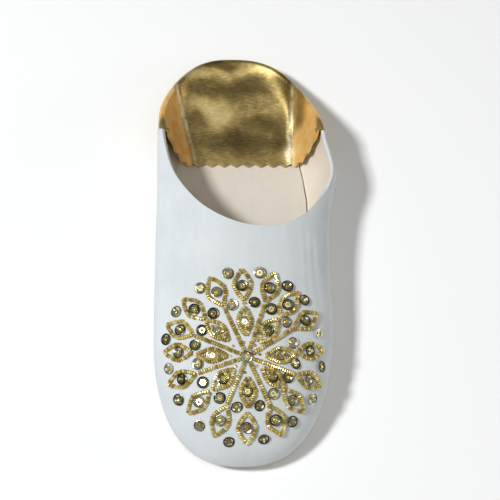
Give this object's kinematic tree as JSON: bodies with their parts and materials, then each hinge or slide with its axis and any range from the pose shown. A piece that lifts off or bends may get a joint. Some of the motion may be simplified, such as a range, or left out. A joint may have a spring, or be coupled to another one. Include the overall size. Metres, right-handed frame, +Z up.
{
  "type": "babouche slipper",
  "caption": "Backless leather house slipper, left foot, with a low rounded toe, a wide open collar and a metallic back part trodden flat onto the insole.",
  "frame": {"origin": "middle of the footprint's bounding box, on the floor the sole stands on", "axes": "-Y points to the toe and +Y to the heel, +Z up, +X to the outer side of the left foot"},
  "size_m": [0.1032, 0.246, 0.0523],
  "materials": {
    "sole_leather": "natural tan sole leather, matte, with a fine grain and a smooth cut edge",
    "insole_leather": "cream lining leather, smooth and matte",
    "white_leather": "soft white sheepskin, satin, with a fine grain and long shallow wrinkles",
    "gold_leather": "gold foiled leather, mirror-like with soft crinkles",
    "gold_beads": "small gold lustre seed beads, glossy",
    "gold_sequins": "gold metallised faceted cup sequins, mirror-like",
    "thread": "waxed cotton sewing thread"
  },
  "bodies": {
    "root": {"outsole": "sole_leather", "insole": "insole_leather", "upper": "white_leather", "heel_flap": "gold_leather"}
  },
  "joints": []
}
